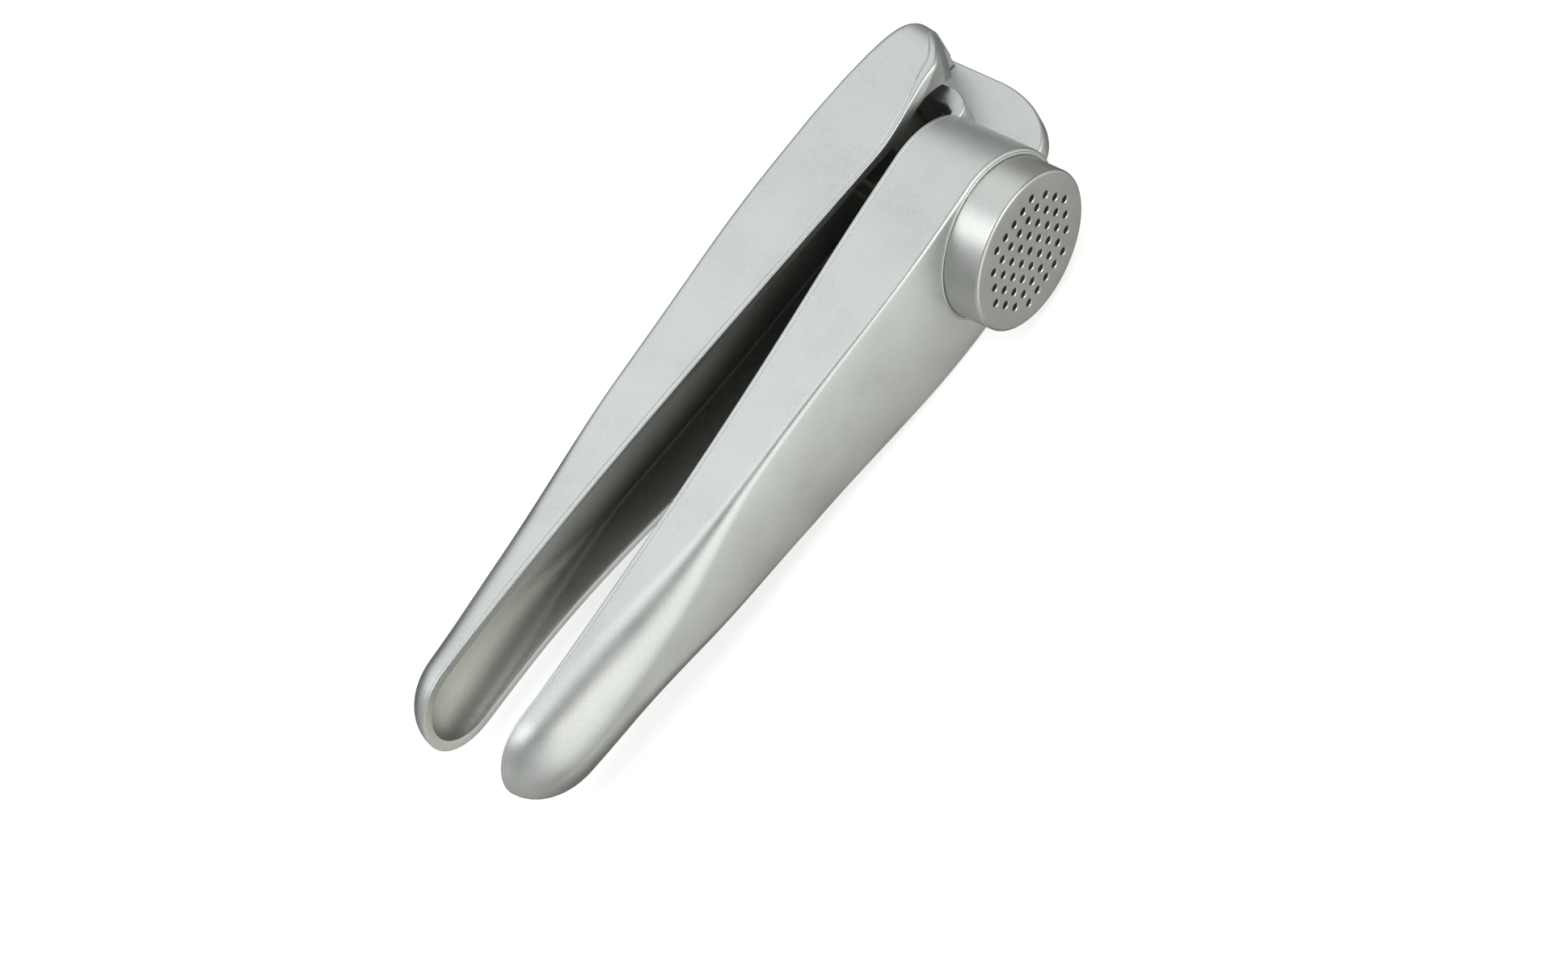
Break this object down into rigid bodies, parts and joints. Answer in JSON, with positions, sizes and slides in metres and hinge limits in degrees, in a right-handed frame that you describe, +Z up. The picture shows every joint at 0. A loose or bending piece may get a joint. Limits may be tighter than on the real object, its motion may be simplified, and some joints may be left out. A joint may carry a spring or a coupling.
{
  "type": "garlic press",
  "caption": "Cast metal garlic press: two hollow lever handles hinged at the head, with a round perforated cup and a plunger that is pushed into it.",
  "frame": {"origin": "under the middle of the press, on the surface it lies on, with its handles 7.5 degrees open", "axes": "+X from the grips to the head, +Y from the sieve to the upper handle, +Z up along both pins"},
  "size_m": [0.172, 0.058, 0.0368],
  "materials": {
    "handle_casting": "satin, bead blasted",
    "cup_casting": "satin",
    "plunger_casting": "satin",
    "pin_steel": "turned"
  },
  "bodies": {
    "lower": {"lower_handle": "handle_casting", "sieve_cup": "cup_casting"},
    "upper": {"upper_handle": "handle_casting", "pivot_pin": "pin_steel", "plunger_pin": "pin_steel"},
    "plunger": {"plunger_stem": "plunger_casting", "plunger_foot": "plunger_casting"}
  },
  "joints": [
    {"name": "handle_hinge", "type": "hinge", "parent": "lower", "child": "upper", "pos_m": [0.07794, 0.00895, 0.0184], "axis": [0, 0, -1], "range_deg": [-6.8, 50]},
    {"name": "plunger_swivel", "type": "hinge", "parent": "upper", "child": "plunger", "pos_m": [0.0565, 0.00119, 0.0184], "axis": [0, 0, -1], "range_deg": [-50, 6.8]}
  ],
  "couplings": [
    {"joint": "plunger_swivel", "follows": "handle_hinge", "ratio": -1}
  ]
}
